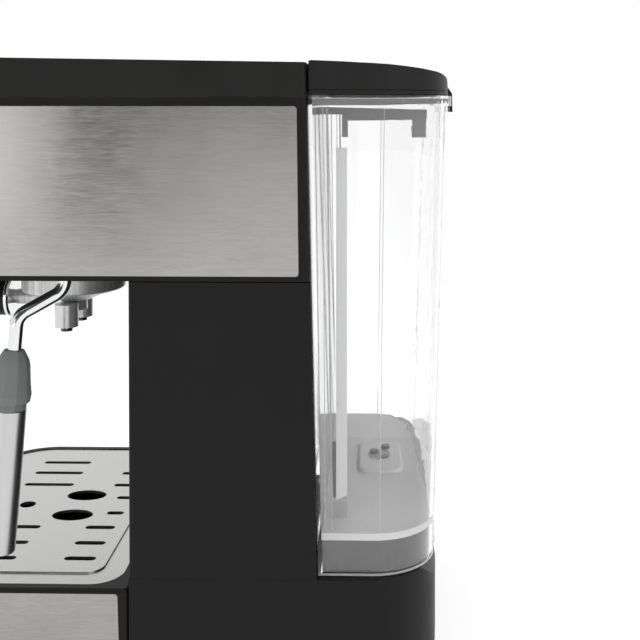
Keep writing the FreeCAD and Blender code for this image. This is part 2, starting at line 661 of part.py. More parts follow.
def portafilter():
    """Chrome cup with two bayonet ears, and the neck that takes the handle."""
    cup = turned([("0", "cup_base"), ("11", "cup_base"), ("18", "cup_base + 3"),
                  ("cup_radius - 0.8", "cup_edge - 0.9"), ("cup_radius", "cup_edge"),
                  ("cup_radius", "cup_top"), ("cup_bore", "cup_top"), ("cup_bore", "cup_floor + 3"),
                  ("cup_bore - 6", "cup_floor"), ("0", "cup_floor")],
                 "0", "axis_y")
    ears = [cut(wedge(turn, EAR_HALF_ANGLE, "ear_radius", "ear_low", "ear_high"),
                rod("0", "axis_y", "ear_low - 1", "cup_radius - 0.6", "10")) for turn in (0, 180)]
    neck = turned([("0", "-(axis_y) + cup_radius - 16"), ("neck_radius + 0.8", "-(axis_y) + cup_radius - 16"),
                   ("neck_radius + 0.8", "-(axis_y) + cup_radius + 1.5"), ("neck_radius", "-(ferrule_start)"),
                   ("0", "-(ferrule_start)")], "0", "0", "handle_z", "-Y")
    drain = rod("0", "axis_y", "cup_base - 2", "4", "10")
    bore = rod("0", "ferrule_start - 1", "handle_z", "stud_radius - 0.5", "6", "Y")
    node(cut(fuse(cup, neck, *ears), drain, bore), "portafilter_body")


def basket():
    """Coffee basket and the wire clip that keeps it in the cup."""
    node(turned([("0", "basket_floor"), ("basket_radius - 2", "basket_floor"),
                 ("basket_radius", "basket_floor + 2"), ("basket_radius", "cup_top + 0.02"),
                 ("basket_flange", "cup_top + 0.02"), ("basket_flange", "cup_top + 0.4"),
                 ("basket_radius - basket_wall", "cup_top + 0.4"),
                 ("basket_radius - basket_wall", "basket_floor + 2.2"),
                 ("basket_radius - 2.4", "basket_floor + basket_wall"),
                 ("0", "basket_floor + basket_wall")], "0", "axis_y"), "filter_basket")
    clip = DOC.addObject("Part::Torus", "clip")
    bind(clip, Radius1="(basket_radius + cup_bore) / 2", Radius2="0.6")
    node(place(clip, "0", "axis_y", "cup_top - 5"), "basket_clip")


def spouts():
    """Double spout under the cup and the two black tips in it."""
    neck = rod("0", "axis_y", "spout_top - 6", "8", "cup_base - spout_top + 6")
    bridge = box("-spout_x", "spout_x", "axis_y - 4.5", "axis_y + 4.5", "spout_top - 8", "spout_top")
    legs = [rod(x, "axis_y", "spout_bottom", "spout_radius", "spout_top - spout_bottom")
            for x in ("-spout_x", "spout_x")]
    ways = [rod(x, "axis_y", "spout_bottom - 1", "spout_bore", "9") for x in ("-spout_x", "spout_x")]
    seats = [rod(x, "axis_y", "spout_bottom - 1", "tip_radius", "4") for x in ("-spout_x", "spout_x")]
    gallery = rod("-spout_x", "axis_y", "spout_top - 5.5", "2.4", "2 * spout_x", "X")
    drop = rod("0", "axis_y", "spout_top - 6", "4", "12")
    node(cut(fuse(neck, bridge, *legs), gallery, drop, *ways, *seats), "spout")
    node(fuse(*[ring(x, "axis_y", "tip_bottom", "spout_bottom + 3", "tip_radius", "spout_bore")
                for x in ("-spout_x", "spout_x")]), "spout_tips")


def handle():
    """Portafilter handle with its chrome ferrule and the stud inside it."""
    height = "handle_z"
    node(turned([("neck_radius + 0.2", "-(ferrule_start) - 0.4"),
                 ("ferrule_radius - 1", "-(ferrule_start) - 0.4"),
                 ("ferrule_radius", "-(ferrule_start) + 0.6"), ("ferrule_radius", "-(ferrule_end)"),
                 ("neck_radius + 0.2", "-(ferrule_end)")], "0", "0", height, "-Y"), "handle_ferrule")
    grip = turned([("0", "-(ferrule_end)"), ("handle_radius", "-(ferrule_end)"),
                   ("handle_radius", "-(ferrule_end) + 12"), ("handle_radius + 1.6", "-(handle_end) - 60"),
                   ("handle_radius + 2.6", "-(handle_end) - 26"), ("handle_radius + 2", "-(handle_end) - 8"),
                   ("handle_radius - 1", "-(handle_end) - 2"), ("handle_radius - 4", "-(handle_end)"),
                   ("0", "-(handle_end)")], "0", "0", height, "-Y")
    way = rod("0", "ferrule_start - 50", "handle_z", "stud_radius", "60", "Y")
    node(cut(grip, way), "portafilter_handle")
    stud = fuse(rod("0", "ferrule_start - 50", "handle_z", "stud_radius", "49.9", "Y"),
                rod("0", "ferrule_start - 1", "handle_z", "stud_radius - 0.5", "4.9", "Y"))
    node(stud, "handle_stud")


# ---------------------------------------------------------------- steam wand

def wand_spot(reach, height):
    """Point of the wand's own upright plane."""
    heading = math.radians(size("wand_heading"))
    return FreeCAD.Vector(size("wand_x") + reach * math.sin(heading),
                          size("wand_y") - reach * math.cos(heading), height)


def wand_axis():
    """Elbow of the pipe and the direction of its straight lower run."""
    elbow = wand_spot(size("pipe_reach"), size("pipe_elbow"))
    tip = wand_spot(size("tip_reach"), size("tip_height"))
    return elbow, (tip - elbow).normalize()


def along_wand(corners):
    """Revolved piece on the straight lower run: corners are radius and height above the table."""
    elbow, down = wand_axis()
    body = DOC.addObject("PartDesign::Body", "turned")
    sketch = new_sketch(body, "XZ_Plane")
    draw_polygon(sketch, [(radius, f"({height}) - tip_height") for radius, height in corners])
    feature = body.newObject("PartDesign::Revolution", "revolution")
    feature.Profile = sketch
    feature.ReferenceAxis = (sketch, ["V_Axis"])
    feature.Angle = 360
    tip = wand_spot(size("tip_reach"), size("tip_height"))
    body.Placement = FreeCAD.Placement(tip, FreeCAD.Rotation(FreeCAD.Vector(0, 0, 1), down * -1))
    DOC.recompute()
    return body


def steam_wand():
    """Swivel nut, bent pipe, rubber grip, steel sleeve and nozzle."""
    node(ring("wand_x", "wand_y", "nut_bottom", "housing_bottom - 0.05", "nut_radius", "pipe_radius + 0.06"),
         "wand_nut")
    elbow, down = wand_axis()
    points = [wand_spot(0, size("pipe_top")), wand_spot(0, size("pipe_knee")), elbow,
              elbow + down * size("pipe_run")]
    node(tube("pipe", points, size("pipe_radius"), size("pipe_radius - 1"), 9), "steam_pipe")
    hold = "pipe_radius + 0.03"
    node(along_wand([(hold, "grip_low - 6"), ("sleeve_radius - 0.65", "grip_low - 6"),
                     ("sleeve_radius - 0.65", "grip_low - 3.4"), ("sleeve_radius - 0.2", "grip_low - 3.4"),
                     ("sleeve_radius - 0.2", "grip_low"), ("grip_radius - 0.5", "grip_low"),
                     ("grip_radius", "grip_low + 4"), ("grip_radius - 0.9", "grip_low + 9"),
                     ("grip_radius - 1.6", "grip_low + 16.5"), ("grip_radius - 1.8", "grip_low + 19"),
                     ("grip_radius - 2.5", "grip_low + 21.6"), ("grip_radius - 3.75", "grip_low + 24.1"),
                     ("grip_radius - 5.4", "grip_high"), (hold, "grip_high")]), "wand_grip")
    node(along_wand([("sleeve_radius - sleeve_wall", "tip_height"), ("sleeve_radius - 0.3", "tip_height"),
                     ("sleeve_radius", "tip_height + 0.5"), ("sleeve_radius", "grip_low - 4"),
                     ("sleeve_radius - 0.6", "grip_low - 3.5"), ("sleeve_radius - 0.6", "grip_low - 6.1"),
                     ("sleeve_radius - sleeve_wall", "grip_low - 6.1")]), "wand_sleeve")
    fit = "sleeve_radius - sleeve_wall - 0.03"
    node(along_wand([("1", "tip_height + 6"), (fit, "tip_height + 8"), (fit, "tip_height + 13"),
                     ("pipe_radius", "tip_height + 22"), ("1", "tip_height + 22")]), "wand_nozzle")


# ---------------------------------------------------------------- drip tray

def drip_tray():
    """Tray with a black rim, a steel strip round it and a slotted grille on top."""
    outer = slab("tray_half", "tray_front", "tray_rear", "tray_bottom", "tray_top", "tray_corner", "2")
    round_off(outer, "tray_round", lambda edge, spot: spot.z > size("tray_top") - 0.01)
    seat = slab("grille_half + 0.4", "grille_front - 0.4", "grille_rear + 0.4", "grille_bottom - 0.1",
                "tray_top + 1", "grille_front_corner + 0.4", "grille_rear_corner + 0.4")
    inner = slab("grille_half - 2", "grille_front + 2", "grille_rear - 2", "tray_bottom + 3",
                 "tray_top + 1", "grille_front_corner - 2", "grille_rear_corner - 2")
    around = leaning("tray_half + 5", "tray_front - 5", "tray_band_rear_low + 0.2",
                     "tray_band_rear_high + 0.2", "tray_band_low - 0.2", "tray_band_high + 0.2",
                     "tray_corner + 5", "0", "band_round + 0.2")
    core = slab("tray_half - recess", "tray_front + recess", "tray_rear", "tray_band_low - 2",
                "tray_band_high + 2", "tray_corner - 1")
    node(cut(outer, seat, inner, cut(around, core)), "drip_tray")
    band = leaning("tray_half - recess + band_thick", "tray_front + recess - band_thick",
                   "tray_band_rear_low", "tray_band_rear_high", "tray_band_low", "tray_band_high",
                   "tray_corner - 0.2", "0", "band_round")
    hole = slab("tray_half - recess + 0.02", "tray_front + recess - 0.02", "tray_rear",
                "tray_band_low - 1", "tray_band_high + 1", "tray_corner - 0.98")
    node(cut(band, hole), "tray_band")


def drip_grille():
    """Steel grille with a raised middle, rows of slots, two drains and a finger hole."""
    plate = slab("grille_half", "grille_front", "grille_rear", "grille_bottom", "grille_top",
                 "grille_front_corner", "grille_rear_corner")
    field = slab("grille_half - grille_border", "grille_front + grille_border", "grille_rear - grille_border",
                 "grille_plate - 1", "grille_top + 2", "grille_front_corner - grille_border", "9")
    above = slab("grille_half + 1", "grille_front - 1", "grille_rear + 1", "grille_plate", "grille_top + 1")
    cutters = []
    for row in ("row_one", "row_two", "row_three"):
        for x in (row, f"-{row}"):
            cutters += fine_slot(x, "slot_front_far", "slot_front_near", "slot_width")
            cutters += fine_slot(x, "slot_rear_near", "slot_rear_far", "slot_width")
    for x in ("row_four", "-row_four"):
        cutters += fine_slot(x, "slot_short_near", "slot_rear_far", "slot_width")
    for x in ("drain_x", "-drain_x"):
        oval = DOC.addObject("Part::Ellipse", "drain")
        bind(oval, MajorRadius="drain_length / 2", MinorRadius="drain_width / 2")
        place(oval, x, "drain_y", "grille_bottom - 1", FreeCAD.Rotation(FreeCAD.Vector(0, 0, 1), 90))
        prism = DOC.addObject("Part::Extrusion", "drain")
        prism.Base = oval
        prism.Dir = (0, 0, 5)
        prism.Solid = True
        cutters.append(prism)
    cutters.append(rod("0", "finger_y", "grille_bottom - 1", "finger_radius", "5"))
    node(cut(plate, cut(above, field), *cutters), "drip_grille")


# ---------------------------------------------------------------- water tank

def tank_loft(name, inset, low, high, front_inset):
    """Tapered block with the tank's outline, moved in by an inset."""
    body = DOC.addObject("PartDesign::Body", name)
    sections = []
    for level, size_name in ((low, "low"), (high, "high")):
        sketch = new_sketch(body, "XY_Plane", level)
        draw_dee(sketch, f"tank_{size_name}_half - ({inset})", f"tank_{size_name}_front + ({front_inset})",
                 f"tank_{size_name}_rear - ({inset})", f"tank_{size_name}_centre - ({inset})",
                 f"tank_corner - ({inset})")
        sections.append(sketch)
    loft = body.newObject("PartDesign::AdditiveLoft", "loft")
    loft.Profile = sections[0]
    loft.Sections = [sections[1]]
    loft.Ruled = True
    DOC.recompute()
    return body


def water_tank():
    """Clear tank with a raised floor, a skirt below it and a flange round its mouth."""
    outer = tank_loft("tank", "0", "tank_bottom", "tank_neck", "0")
    flange = dee("flange_half", "flange_front", "flange_rear", "flange_centre", "tank_corner + 2",
                 "tank_neck - 1", "flange_top")
    ears = []
    for x in ("-hinge_x", "hinge_x"):
        ears.append(box(f"{x} - 4", f"{x} + 4", "lid_front + hinge_inset - ear_half",
                        "lid_front + hinge_inset + ear_half", "flange_top - 4", "lid_top - hinge_inset"))
        ears.append(rod(f"{x} - 4", "lid_front + hinge_inset", "lid_top - hinge_inset", "ear_half", "8", "X"))
        ears.append(box(f"{x} - 4", f"{x} + 4", "flange_front + 0.3", "lid_front + hinge_inset + ear_half",
                        "flange_top - 4", "flange_top + 1"))
    full = tank_loft("tank_space", "tank_wall", "tank_bottom", "tank_neck", "tank_wall")
    floor = box("-120", "120", "90", "200", "tank_floor_low", "tank_floor_high")
    space = cut(full, floor)
    mouth = dee("tank_high_half - tank_wall", "tank_high_front + tank_wall", "tank_high_rear - tank_wall",
                "tank_high_centre - tank_wall", "tank_corner - tank_wall", "tank_neck - 0.5",
                "flange_top + 1")
    valve_way = rod("valve_x", "valve_y", "tank_floor_low - 3", "7.05", "10")
    pin_way = rod("-120", "lid_front + hinge_inset", "lid_top - hinge_inset", "pin_radius + 0.06", "240", "X")
    shell = cut(fuse(outer, flange), space, mouth, valve_way)
    node(cut(fuse(shell, *ears), pin_way), "water_tank")


def lid_profile():
    """Cutter above the lid, whose top falls away to the rear."""
    falls = [("2", "0"), ("11", "0.35"), ("18.6", "0.7"), ("26.3", "1.15"), ("34", "1.55"), ("41.6", "2.1"),
             ("50", "3"), ("58", "4"), ("62", "4.7"), ("66", "5.4"), ("69", "6.3"), ("71.5", "7.8"),
             ("73.5", "10"), ("75", "13"), ("90", "13")]
    corners = [("lid_front - 5", "lid_top")]
    corners += [(f"lid_front + {back}", f"lid_top - {fall}") for back, fall in falls]
    corners += [("lid_front + 90", "lid_top + 9"), ("lid_front - 5", "lid_top + 9")]
    return side_profile(corners, "4 * half_width")


def tank_lid():
    """Domed lid with a groove round it, a rear tab and notches for the two hinge ears."""
    blank = dee("lid_half", "lid_front", "lid_rear", "lid_centre", "tank_corner + 1.4", "lid_bottom",
                "lid_top + 2")
    low_space = dee("lid_half - lid_wall", "lid_front + lid_wall", "lid_rear - lid_wall",
                    "lid_centre - lid_wall", "tank_corner - 0.6", "lid_bottom - 1", "lid_top - 14")
    high_space = slab("lid_half - lid_wall", "lid_front + lid_wall", "lid_front + 64", "lid_bottom - 1",
                      "lid_top - 8", "0", "tank_corner - 2")
    front_bar = box("-lid_half", "lid_half", "lid_front - 1", "lid_front + lid_round",
                    "lid_top - lid_round", "lid_top + 1")
    front_round = rod("-lid_half", "lid_front + lid_round", "lid_top - lid_round", "lid_round",
                      "2 * lid_half", "X")
    front_lift = box("-lid_half", "lid_half", "lid_front - 1", "lid_front + hinge_inset", "lid_bottom - 1",
                     "lid_bottom + 0.3")
    around = slab("lid_half + 5", "lid_front - 5", "lid_centre + 0.5", "lid_bottom + 2.2", "lid_bottom + 2.7")
    core = dee("lid_half - 0.4", "lid_front + 0.4", "lid_rear - 0.4", "lid_centre - 0.4", "tank_corner + 1",
               "lid_bottom + 2", "lid_bottom + 3")
    notches = [box(f"{x} - 4.6", f"{x} + 4.6", "lid_front - 1", "lid_front + 2 * hinge_inset",
                   "lid_bottom - 1", "lid_top - 1.2") for x in ("-hinge_x", "hinge_x")]
    pin_way = rod("-hinge_x - 10", "lid_front + hinge_inset", "lid_top - hinge_inset", "pin_radius",
                  "2 * hinge_x + 20", "X")
    tab = side_profile([("lid_centre - 1", "lid_bottom + 6.2"), ("lid_centre + 0.6", "lid_bottom + 6.2"),
                        ("tab_rear - 0.2", "lid_bottom + 1.6"), ("tab_rear", "lid_bottom - 9.3"),
                        ("lid_centre - 1", "lid_bottom - 9.3")], "18")
    tab_space = box("-10", "10", "lid_centre - 2", "flange_centre + 0.3", "lid_bottom - 11",
                    "lid_bottom - 0.1")
    roof = cut(blank, lid_profile(), low_space, high_space, cut(front_bar, front_round), front_lift,
               cut(around, core))
    node(cut(fuse(roof, cut(tab, tab_space)), pin_way, *notches), "tank_lid")
    node(rod("-hinge_x - 9.6", "lid_front + hinge_inset", "lid_top - hinge_inset", "pin_radius",
             "2 * hinge_x + 19.2", "X"), "lid_hinge_pin")


def tank_valve():
    """Spring valve in the tank floor and the socket in the base that opens it."""
    x, y = "valve_x", "valve_y"
    node(turned([("3", "tank_floor_low - 12"), ("8", "tank_floor_low - 12"), ("8", "tank_floor_low"),
                 ("7", "tank_floor_low"), ("7", "tank_floor_high + 0.02"), ("12", "tank_floor_high + 0.02"),
                 ("12", "tank_floor_high + 2"), ("2.5", "tank_floor_high + 2"),
                 ("2.5", "tank_floor_high + 0.5"),
                 ("6", "tank_floor_high + 0.5"), ("6", "tank_floor_low - 9"), ("3", "tank_floor_low - 9")],
                x, y), "tank_valve_body")
    node(turned([("0", "tank_floor_low - 15.9"), ("1.6", "tank_floor_low - 15.9"),
                 ("1.6", "tank_floor_low - 6.5"), ("5", "tank_floor_low - 6.5"),
                 ("5", "tank_floor_low - 4.2"),
                 ("0", "tank_floor_low - 4.2")], x, y), "valve_poppet")
    spring = DOC.addObject("Part::Feature", "spring")
    helix = Part.makeHelix(1.5, 6, 4)
    wire = Part.Wire(Part.Circle(FreeCAD.Vector(4, 0, 0), FreeCAD.Vector(0, 1, 0), 0.4).toShape())
    spring.Shape = Part.Wire(helix).makePipeShell([wire], True, True)
    spring.Placement = FreeCAD.Placement(
        FreeCAD.Vector(size(x), size(y), size("tank_floor_low - 3.8")), FreeCAD.Rotation())
    node(spring, "valve_spring")
    seal = DOC.addObject("Part::Torus", "seal")
    bind(seal, Radius1="9.2", Radius2="1.1")
    node(place(seal, x, y, "tank_floor_low - 8"), "tank_seal")
    cup = turned([("2.4", "base_top - 8"), ("4", "base_top - 8"), ("4", "base_top - 2"),
                  ("11", "base_top - 2"),
                  ("11", "pedestal_top + 1"), ("10.4", "pedestal_top + 1"), ("10.4", "tank_floor_low - 16"),
                  ("2.4", "tank_floor_low - 16")], x, y)
    bar = box(f"{x} - 0.6", f"{x} + 0.6", f"{y} - 4", f"{y} + 4", "base_top - 1", "tank_floor_low - 16")
    node(fuse(cup, bar), "inlet_socket")


# ---------------------------------------------------------------- pump and electrics

def pump():
    """Vibration pump, its coil, rubber rings, hoses and pipes."""
    x, y = "pump_x", "pump_y"
    node(turned([("0", "pump_low - 14"), ("4", "pump_low - 14"), ("4", "pump_low"),
                 ("pump_radius", "pump_low"),
                 ("pump_radius", "pump_high"), ("6", "pump_high"), ("6", "pump_high + 10"),
                 ("0", "pump_high + 10")], x, y), "pump_body")
    coil = box(f"{x} - coil_half", f"{x} + coil_half", f"{y} - coil_half", f"{y} + coil_half",
               "coil_low", "coil_high")
    way = rod(x, y, "coil_low - 1", "pump_radius + 0.1", "coil_high - coil_low + 2")
    node(cut(coil, way), "pump_coil")
    rings = [ring(x, y, low, f"{low} + 10", "pump_radius + 7", "pump_radius + 0.02")
             for low in ("pump_low + 4", "pump_high - 16")]
    node(fuse(*rings), "pump_mounts")


def hose_runs():
    """Water hose to the pump, pressure pipe to the boiler and steam tube to the wand."""
    point = FreeCAD.Vector
    inlet = point(size("valve_x"), size("valve_y"), size("base_top - 8"))
    pump_x, pump_y = size("pump_x"), size("pump_y")
    low = size("pump_low - 14")
    hose = [inlet, point(inlet.x, inlet.y, 32), point(pump_x, pump_y, 32), point(pump_x, pump_y, low)]
    node(tube("hose", hose, size("hose_radius"), 2.4, 9), "water_hose")
    high = size("pump_high + 10")
    level = size("inlet_z")
    pressure = [point(pump_x, pump_y, high), point(pump_x, pump_y, level), point(0, 28, level),
                point(0, size("axis_y + boiler_radius - 4.9"), level)]
    node(tube("pressure", pressure, 3, 1.8, 12), "pressure_pipe")
    valve_low = size("control_z - 18")
    steam = [point(size("knob_x"), -82, valve_low), point(size("knob_x"), -82, 232),
             point(74, -40, 230), point(size("wand_x"), size("wand_y"), 236),
             point(size("wand_x"), size("wand_y"), size("pipe_top"))]
    node(tube("steam", steam, 2.5, 1.5, 5), "steam_tube")


def electrics():
    """Control board in the column and the cord gland at the back."""
    board = box("-70", "-30", "90", "91.6", "90", "190")
    relay = box("-64", "-46", "76", "90", "100", "116")
    heatsink = box("-60", "-40", "72", "90", "140", "170")
    capacitor = rod("-40", "80", "122", "5", "10", "Y")
    node(fuse(board, relay, heatsink, capacitor), "control_board")
    start = "base_rear_side - 6"
    flange = rod("gland_x", "base_rear_centre - 0.7", "gland_z", "gland_radius + 3", "2", "Y")
    barrel = rod("gland_x", start, "gland_z", "gland_radius - 1.5", f"gland_end - ({start})", "Y")
    bore = rod("gland_x", "base_rear_side - 10", "gland_z", "3.4", "40", "Y")
    node(cut(fuse(flange, barrel), bore), "cord_gland")


def check_and_export():
    """Refuse failed objects and empty or invalid shapes, then write one file for each node."""
    DOC.recompute()
    for item in DOC.Objects:
        if {"Invalid", "Error"} & set(item.State):
            raise RuntimeError(f"{item.Name} ({item.Label}) did not recompute: {item.State}")
    os.makedirs("parts", exist_ok=True)
    for item in NODES:
        shape = item.Shape
        if shape.isNull() or not shape.isValid() or not shape.Solids:
            raise RuntimeError(f"{item.Label} has no valid solid")
        shape.exportStep(f"parts/{item.Label}.step")
        span = shape.BoundBox
        print(f"{item.Label:20s} solids {len(shape.Solids):2d}  x {span.XMin:7.1f} {span.XMax:7.1f}"
              f"  y {span.YMin:7.1f} {span.YMax:7.1f}  z {span.ZMin:7.1f} {span.ZMax:7.1f}")


def main():
    fill_sheet()
    base_deck()
    rubber_feet()
    base_screws()
    rear_base_housing()
    column_housing()
    upper_housing()
    steel_band()
    top_cover()
    cup_plate()
    control_panel()
    for index, name in enumerate(("power_button", "brew_button", "steam_button")):
        push_button(index, name)
    indicator_lights()
    switch_board()
    steam_knob()
    steam_valve()
    boiler()
    group_parts()
    portafilter()
    basket()
    spouts()
    handle()
    steam_wand()
    drip_tray()
    drip_grille()
    water_tank()
    tank_lid()
    tank_valve()
    pump()
    hose_runs()
    electrics()
    check_and_export()


main()
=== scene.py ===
import json
import math
import bmesh
import bpy
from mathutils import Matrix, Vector


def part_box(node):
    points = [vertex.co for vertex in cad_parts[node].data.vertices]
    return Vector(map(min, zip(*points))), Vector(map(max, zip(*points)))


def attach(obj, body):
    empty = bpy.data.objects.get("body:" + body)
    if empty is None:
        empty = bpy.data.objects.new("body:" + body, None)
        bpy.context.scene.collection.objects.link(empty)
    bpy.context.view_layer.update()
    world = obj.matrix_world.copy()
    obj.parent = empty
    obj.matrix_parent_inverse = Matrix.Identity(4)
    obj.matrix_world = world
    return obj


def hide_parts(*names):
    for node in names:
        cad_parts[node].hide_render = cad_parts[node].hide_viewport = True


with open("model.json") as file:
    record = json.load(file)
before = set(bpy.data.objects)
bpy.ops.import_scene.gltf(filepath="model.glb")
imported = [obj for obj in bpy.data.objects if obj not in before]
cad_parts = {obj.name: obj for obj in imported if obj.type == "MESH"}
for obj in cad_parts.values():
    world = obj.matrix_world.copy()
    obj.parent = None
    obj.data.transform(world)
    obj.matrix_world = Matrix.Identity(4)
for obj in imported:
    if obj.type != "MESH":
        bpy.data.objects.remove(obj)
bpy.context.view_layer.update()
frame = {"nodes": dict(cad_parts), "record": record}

MM = 0.001
SLOT_OF = {part["node"]: part["material_slot"] for part in frame["record"]["subparts"]}


def centre_of(node):
    """Middle of a CAD node's box, in millimetres."""
    low, high = (Vector(corner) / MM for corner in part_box(node))
    return (low + high) / 2


TANK_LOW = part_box("water_tank")[0][2] / MM
TANK_WALL_HEIGHT = 241.2
TANK_FLOOR = TANK_LOW + 21.4
TANK_RIM = TANK_LOW + 239.2
VALVE = centre_of("tank_valve_body")


# ---------------------------------------------------------------- node helpers

def new_material(name, colour, roughness, metallic=0.0, **sockets):
    """Principled material with plain values, ready for patterns."""
    material = bpy.data.materials.new(name)
    material.use_nodes = True
    shader = material.node_tree.nodes["Principled BSDF"]
    shader.inputs["Base Color"].default_value = (*colour, 1.0)
    shader.inputs["Roughness"].default_value = roughness
    shader.inputs["Metallic"].default_value = metallic
    for socket, value in sockets.items():
        shader.inputs[socket.replace("_", " ")].default_value = value
    return material


def add_node(material, kind, **values):
    """Node with properties or unlinked inputs set by name."""
    made = material.node_tree.nodes.new(kind)
    for key, value in values.items():
        if hasattr(made, key):
            setattr(made, key, value)
        else:
            made.inputs[key.replace("_", " ")].default_value = value
    return made


def link(material, output, target):
    """Join an output to an input."""
    material.node_tree.links.new(output, target)


def shader_of(material):
    """The material's Principled node."""
    return material.node_tree.nodes["Principled BSDF"]


def pattern_space(material, stretch=(1.0, 1.0, 1.0)):
    """Place on the object, in metres, stretched along its axes."""
    place = add_node(material, "ShaderNodeTexCoord")
    mapping = add_node(material, "ShaderNodeMapping")
    mapping.inputs["Scale"].default_value = stretch
    link(material, place.outputs["Object"], mapping.inputs["Vector"])
    return mapping.outputs["Vector"]


def noise(material, space, scale, detail=3.0, rough=0.55):
    """Noise value over a space."""
    made = add_node(material, "ShaderNodeTexNoise", Scale=scale, Detail=detail, Roughness=rough)
    link(material, space, made.inputs["Vector"])
    return made.outputs["Fac"]


def remap(material, value, low, high, start=0.3, end=0.7):
    """Value spread from one range to another."""
    made = add_node(material, "ShaderNodeMapRange", clamp=True)
    made.inputs["From Min"].default_value = start
    made.inputs["From Max"].default_value = end
    made.inputs["To Min"].default_value = low
    made.inputs["To Max"].default_value = high
    link(material, value, made.inputs["Value"])
    return made.outputs["Result"]


def calculate(material, operation, first, second=0.0):
    """Sum or product of two values, each an output or a number."""
    made = add_node(material, "ShaderNodeMath", operation=operation)
    for socket, value in zip(made.inputs, (first, second)):
        if isinstance(value, (int, float)):
            socket.default_value = value
        else:
            link(material, value, socket)
    return made.outputs["Value"]


def blend_colours(material, factor, first, second):
    """Colour between two, by a value."""
    made = add_node(material, "ShaderNodeMix", data_type="RGBA")
    link(material, factor, made.inputs["Factor"])
    made.inputs[6].default_value = (*first, 1.0)
    made.inputs[7].default_value = (*second, 1.0)
    return made.outputs[2]


def raise_bumps(material, height, strength, distance, edge=0.0):
    """Bump from a height, over edges softened by a small radius."""
    bump = add_node(material, "ShaderNodeBump", Strength=strength, Distance=distance)
    link(material, height, bump.inputs["Height"])
    if edge:
        bevel = add_node(material, "ShaderNodeBevel", samples=4, Radius=edge)
        link(material, bevel.outputs["Normal"], bump.inputs["Normal"])
    link(material, bump.outputs["Normal"], shader_of(material).inputs["Normal"])


# ---------------------------------------------------------------- finishes

def moulded(name, colour, roughness, grain=2400.0, depth=0.12, edge=0.0006, vary=0.2, **sockets):
    """Moulded plastic or rubber: fine grain, faint mottling and softened edges."""
    material = new_material(name, colour, roughness, **sockets)
    space = pattern_space(material)
    fine = noise(material, space, grain, 2.0)
    broad = noise(material, space, 28.0, 4.0)
    shader = shader_of(material)
    darker = tuple(channel * (1 - vary) for channel in colour)
    lighter = tuple(channel * (1 + vary) for channel in colour)
    mottle = calculate(material, "ADD", calculate(material, "MULTIPLY", fine, 0.35),
                       calculate(material, "MULTIPLY", broad, 0.65))
    shade = blend_colours(material, remap(material, mottle, 0.0, 1.0), darker, lighter)
    link(material, shade, shader.inputs["Base Color"])
    link(material, remap(material, mottle, roughness - 0.06, roughness + 0.06), shader.inputs["Roughness"])
    raise_bumps(material, fine, depth, 0.0001, edge)
    return material


def brushed(name, colour, roughness, run, fine=1900.0, length=26.0, depth=0.1, edge=0.0, vary=0.1,
            cloudy=0.15, metallic=1.0):
    """Brushed steel: long fine scratches that run along the axes named in run, over soft clouds."""
    material = new_material(name, colour, roughness, metallic=metallic)
    along = tuple(length if axis in run else fine for axis in "XYZ")
    wide = tuple(length * 0.25 if axis in run else fine * 0.2 for axis in "XYZ")
    scratch = noise(material, pattern_space(material, along), 1.0, 4.0, 0.7)
    streak = noise(material, pattern_space(material, wide), 1.0, 3.0)
    cloud = noise(material, pattern_space(material), 34.0, 3.0)
    mixed = calculate(material, "ADD", calculate(material, "MULTIPLY", scratch, 0.8 - cloudy),
                      calculate(material, "ADD", calculate(material, "MULTIPLY", streak, 0.2),
                                calculate(material, "MULTIPLY", cloud, cloudy)))
    shader = shader_of(material)
    darker = tuple(channel * (1 - vary) for channel in colour)
    lighter = tuple(channel * (1 + vary) for channel in colour)
    shade = blend_colours(material, remap(material, mixed, 0.0, 1.0, 0.36, 0.64), darker, lighter)
    link(material, shade, shader.inputs["Base Color"])
    link(material, remap(material, mixed, roughness - 0.05, roughness + 0.07), shader.inputs["Roughness"])
    raise_bumps(material, scratch, depth, 0.00005, edge)
    return material


def polished(name, colour, roughness, waviness=0.02):
    """Plated metal: near mirror with faint waves and handling haze."""
    material = new_material(name, colour, roughness, metallic=1.0)
    space = pattern_space(material)
    haze = noise(material, space, 60.0, 4.0)
    wave = noise(material, space, 90.0, 1.0)
    shader = shader_of(material)
    dull = tuple(channel * 0.93 for channel in colour)
    shade = blend_colours(material, remap(material, haze, 0.0, 1.0), dull, colour)
    link(material, shade, shader.inputs["Base Color"])
    link(material, remap(material, haze, roughness * 0.7, roughness * 1.5), shader.inputs["Roughness"])
    raise_bumps(material, wave, waviness, 0.0005, 0.0004)
    return material


def cast_metal(name, colour, roughness):
    """Sand-cast alloy: grainy and uneven."""
    material = new_material(name, colour, roughness, metallic=1.0)
    space = pattern_space(material)
    grit = noise(material, space, 900.0, 5.0)
    broad = noise(material, space, 40.0, 4.0)
    shader = shader_of(material)
    link(material, blend_colours(material, remap(material, broad, 0.0, 1.0), tuple(c * 0.78 for c in colour),
                                 colour), shader.inputs["Base Color"])
    link(material, remap(material, grit, roughness - 0.1, roughness + 0.12), shader.inputs["Roughness"])
    raise_bumps(material, grit, 0.35, 0.0003, 0.0005)
    return material


def clear_plastic(name):
    """Clear moulded plastic with flow ripples and a faint haze."""
    material = new_material(name, (0.985, 0.985, 0.985), 0.03, Transmission_Weight=1.0, IOR=1.46)
    space = pattern_space(material)
    ripple = noise(material, pattern_space(material, (14.0, 14.0, 4.0)), 1.0, 2.0)
    haze = noise(material, space, 220.0, 4.0)
    shader = shader_of(material)
    link(material, blend_colours(material, remap(material, haze, 0.0, 1.0), (0.978, 0.979, 0.979),
                                 (0.992, 0.993, 0.993)), shader.inputs["Base Color"])
    link(material, remap(material, haze, 0.015, 0.05), shader.inputs["Roughness"])
    raise_bumps(material, ripple, 0.04, 0.002)
    return material


